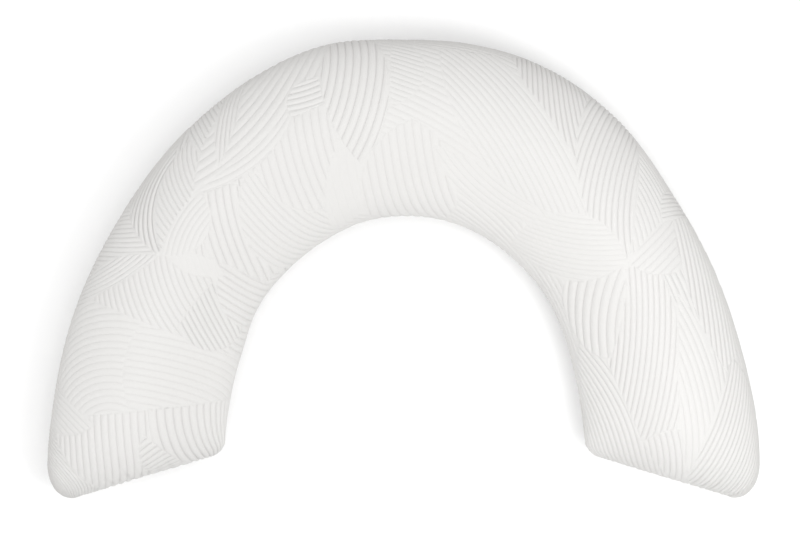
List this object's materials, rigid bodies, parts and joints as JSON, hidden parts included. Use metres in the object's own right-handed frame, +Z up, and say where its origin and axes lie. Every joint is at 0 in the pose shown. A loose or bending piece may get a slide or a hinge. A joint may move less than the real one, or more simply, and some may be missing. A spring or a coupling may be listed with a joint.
{
  "type": "body pillow",
  "caption": "Half-moon body pillow: a filled tube of white ribbed knit, curved into an arch with two cut ends and an open gap between its legs.",
  "frame": {"origin": "centre of the bounding box in plan, at the surface that the pillow lies on", "axes": "+X across the arch, along its longest extent; +Y towards the top of the arch; +Z up, out of the front panel"},
  "size_m": [1.0658, 0.687, 0.1768],
  "materials": {
    "cover": "warm white ribbed knit, matt"
  },
  "bodies": {
    "root": {"pillow": "cover"}
  },
  "joints": []
}
